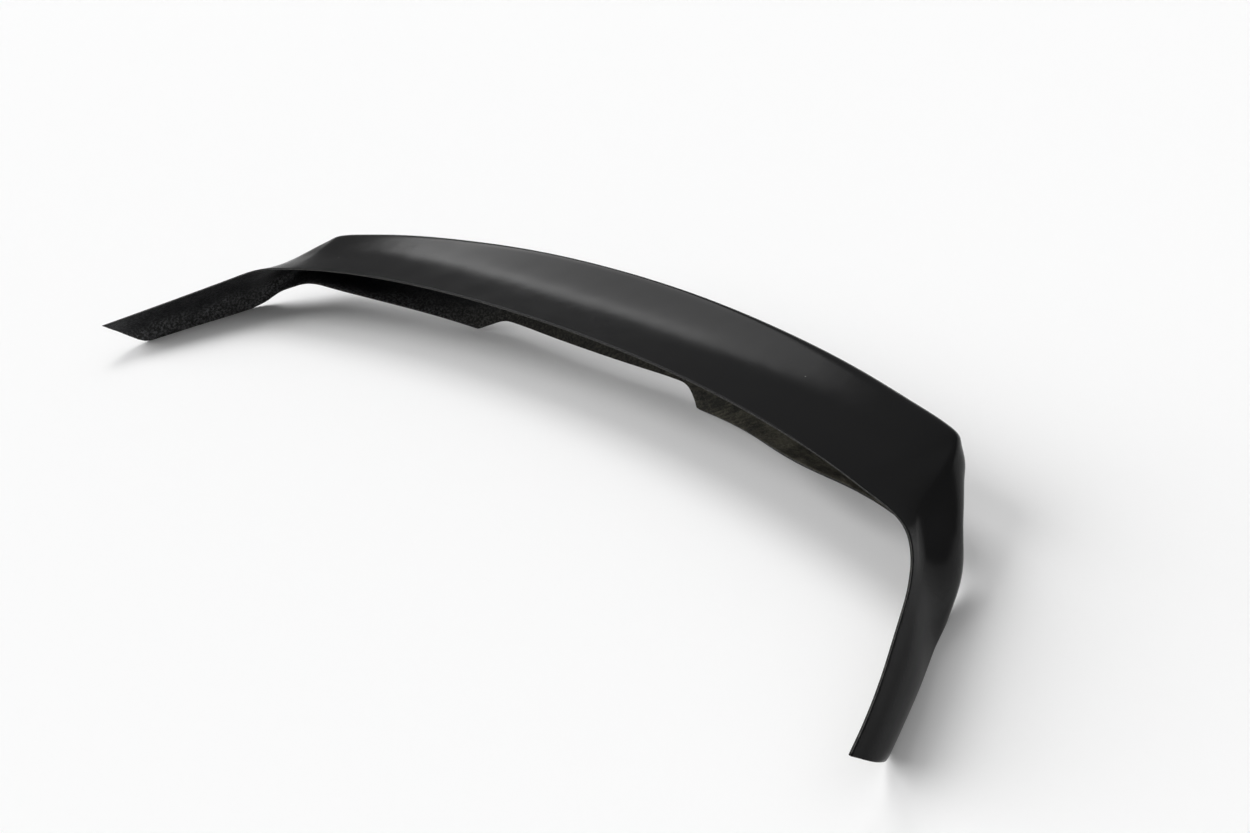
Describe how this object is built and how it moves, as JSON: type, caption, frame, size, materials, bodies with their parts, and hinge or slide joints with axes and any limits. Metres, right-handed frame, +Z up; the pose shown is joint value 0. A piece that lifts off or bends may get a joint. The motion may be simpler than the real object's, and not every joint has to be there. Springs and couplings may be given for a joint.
{
  "type": "rear spoiler",
  "caption": "Thin-walled moulded rear spoiler in a wide U: a raised blade folds over into a skirt and turns forward into side legs that lie along a rear window.",
  "frame": {"origin": "centre of the part's box in plan, on the surface that the leg edges lie on", "axes": "+X across the car, +Y forward from the blade towards the leg tips, +Z up"},
  "size_m": [1.255, 0.4763, 0.1236],
  "materials": {
    "gelcoat_laminate": "satin black gelcoat outside, rough unpainted laminate inside"
  },
  "bodies": {
    "root": {"spoiler_shell": "gelcoat_laminate"}
  },
  "joints": []
}
